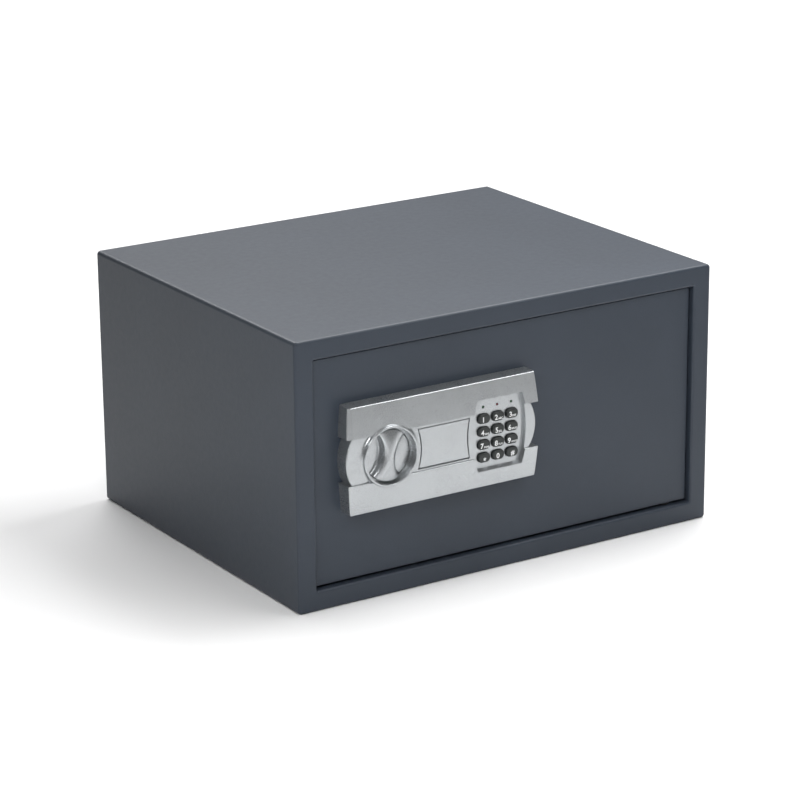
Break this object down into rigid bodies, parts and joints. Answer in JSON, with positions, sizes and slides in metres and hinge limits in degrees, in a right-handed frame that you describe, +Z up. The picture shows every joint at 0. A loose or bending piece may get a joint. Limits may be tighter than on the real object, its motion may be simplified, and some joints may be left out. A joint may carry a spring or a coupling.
{
  "type": "in-room safe",
  "caption": "Recessed-door electronic room safe with a twelve-key pad, turn knob, key override and twin side bolts.",
  "frame": {"origin": "middle of the base face the safe stands on", "axes": "+X to the right seen from the front, +Y towards the back, +Z up"},
  "size_m": [0.45, 0.378, 0.25],
  "materials": {
    "powder_coat": "satin powder coat with a fine even texture",
    "dark_steel": "satin black paint",
    "bright_steel": "bright turned steel",
    "zinc_steel": "bright zinc plate",
    "silver_plastic": "silver metallic lacquer, satin",
    "lock_chrome": "polished",
    "lock_brass": "satin",
    "nylon": "natural nylon",
    "felt": "short pile felt",
    "grey_rubber": "matt silicone",
    "key_rubber": "satin rubber with white legends",
    "circuit_board": "green solder mask",
    "black_parts": "moulded epoxy",
    "ribbon": "grey ribbon",
    "lamp_green": "unlit dark green lens",
    "lamp_red": "unlit dark red lens",
    "coil_tape": "yellow tape wrap",
    "black_plastic": "fine spark texture",
    "cell_wrap": "plain printed sleeve, no lettering",
    "red_plastic": "moulded"
  },
  "bodies": {
    "cabinet": {"body_shell": "powder_coat", "back_panel": "powder_coat", "floor_mat": "felt", "hinge_bushes": "black_plastic"},
    "door": {"door_panel": "powder_coat", "hinge_blocks": "dark_steel", "hinge_pins": "bright_steel", "door_studs": "zinc_steel", "lock_chassis": "dark_steel", "chassis_standoffs": "zinc_steel", "mechanism_cover": "dark_steel", "cover_screws": "zinc_steel", "guide_studs": "bright_steel", "bolt_guides": "nylon", "escutcheon": "silver_plastic", "escutcheon_screws": "zinc_steel", "override_lock_body": "lock_chrome", "override_lock_nut": "zinc_steel", "spindle_bush": "nylon", "keypad_membrane": "grey_rubber", "keypad_pcb": "circuit_board", "keypad_cable": "ribbon", "indicator_leds_green": "lamp_green", "indicator_led_red": "lamp_red", "control_pcb": "circuit_board", "pcb_spacers": "zinc_steel", "pcb_components": "black_parts", "solenoid_frame": "zinc_steel", "solenoid_coil": "coil_tape", "battery_box": "black_plastic", "battery_contacts": "zinc_steel", "batteries": "cell_wrap"},
    "knob": {"knob": "silver_plastic", "knob_spindle": "bright_steel", "drive_cam": "bright_steel", "cam_screw": "zinc_steel"},
    "bolt_work": {"bolt_carriage": "bright_steel", "locking_bolts": "bright_steel", "bolt_screws": "zinc_steel"},
    "plunger": {"solenoid_plunger": "zinc_steel", "plunger_spring": "zinc_steel"},
    "override_plug": {"override_lock_plug": "lock_brass", "override_cam": "zinc_steel", "override_cam_screw": "zinc_steel"},
    "override_cover": {"override_cover": "silver_plastic"},
    "reset_button": {"reset_button": "red_plastic"},
    "battery_cover": {"battery_cover": "black_plastic"},
    "key_1": {"key_1": "key_rubber"},
    "key_2": {"key_2": "key_rubber"},
    "key_3": {"key_3": "key_rubber"},
    "key_4": {"key_4": "key_rubber"},
    "key_5": {"key_5": "key_rubber"},
    "key_6": {"key_6": "key_rubber"},
    "key_7": {"key_7": "key_rubber"},
    "key_8": {"key_8": "key_rubber"},
    "key_9": {"key_9": "key_rubber"},
    "key_star": {"key_star": "key_rubber"},
    "key_0": {"key_0": "key_rubber"},
    "key_hash": {"key_hash": "key_rubber"}
  },
  "joints": [
    {"name": "door_hinge", "type": "hinge", "parent": "cabinet", "child": "door", "pos_m": [0.1835, -0.169, 0.125], "axis": [0, 0, 1], "range_deg": [0, 100]},
    {"name": "knob_turn", "type": "hinge", "parent": "door", "child": "knob", "pos_m": [-0.1355, -0.1825, 0.1343], "axis": [0, 1, 0], "range_deg": [0, 90]},
    {"name": "bolt_slide", "type": "slide", "parent": "door", "child": "bolt_work", "axis": [-1, 0, 0], "range_m": [0, 0.016]},
    {"name": "plunger_drop", "type": "slide", "parent": "door", "child": "plunger", "axis": [0, 0, -1], "range_m": [0, 0.005], "deforming": ["plunger_spring"]},
    {"name": "override_turn", "type": "hinge", "parent": "door", "child": "override_plug", "pos_m": [-0.078, -0.1825, 0.134], "axis": [0, 1, 0], "range_deg": [0, 90]},
    {"name": "override_cover_pull", "type": "slide", "parent": "door", "child": "override_cover", "axis": [0, -1, 0], "range_m": [0, 0.015]},
    {"name": "reset_press", "type": "slide", "parent": "door", "child": "reset_button", "axis": [0, -1, 0], "range_m": [0, 0.0015], "stiffness_N_per_m": 300},
    {"name": "battery_cover_slide", "type": "slide", "parent": "door", "child": "battery_cover", "axis": [0, 0, -1], "range_m": [0, 0.025]},
    {"name": "key_1_press", "type": "slide", "parent": "door", "child": "key_1", "axis": [0, 1, 0], "range_m": [0, 0.001], "stiffness_N_per_m": 400},
    {"name": "key_2_press", "type": "slide", "parent": "door", "child": "key_2", "axis": [0, 1, 0], "range_m": [0, 0.001], "stiffness_N_per_m": 400},
    {"name": "key_3_press", "type": "slide", "parent": "door", "child": "key_3", "axis": [0, 1, 0], "range_m": [0, 0.001], "stiffness_N_per_m": 400},
    {"name": "key_4_press", "type": "slide", "parent": "door", "child": "key_4", "axis": [0, 1, 0], "range_m": [0, 0.001], "stiffness_N_per_m": 400},
    {"name": "key_5_press", "type": "slide", "parent": "door", "child": "key_5", "axis": [0, 1, 0], "range_m": [0, 0.001], "stiffness_N_per_m": 400},
    {"name": "key_6_press", "type": "slide", "parent": "door", "child": "key_6", "axis": [0, 1, 0], "range_m": [0, 0.001], "stiffness_N_per_m": 400},
    {"name": "key_7_press", "type": "slide", "parent": "door", "child": "key_7", "axis": [0, 1, 0], "range_m": [0, 0.001], "stiffness_N_per_m": 400},
    {"name": "key_8_press", "type": "slide", "parent": "door", "child": "key_8", "axis": [0, 1, 0], "range_m": [0, 0.001], "stiffness_N_per_m": 400},
    {"name": "key_9_press", "type": "slide", "parent": "door", "child": "key_9", "axis": [0, 1, 0], "range_m": [0, 0.001], "stiffness_N_per_m": 400},
    {"name": "key_star_press", "type": "slide", "parent": "door", "child": "key_star", "axis": [0, 1, 0], "range_m": [0, 0.001], "stiffness_N_per_m": 400},
    {"name": "key_0_press", "type": "slide", "parent": "door", "child": "key_0", "axis": [0, 1, 0], "range_m": [0, 0.001], "stiffness_N_per_m": 400},
    {"name": "key_hash_press", "type": "slide", "parent": "door", "child": "key_hash", "axis": [0, 1, 0], "range_m": [0, 0.001], "stiffness_N_per_m": 400}
  ],
  "couplings": [
    {"joint": "knob_turn", "follows": "bolt_slide", "rad_per_m": 98.175}
  ]
}
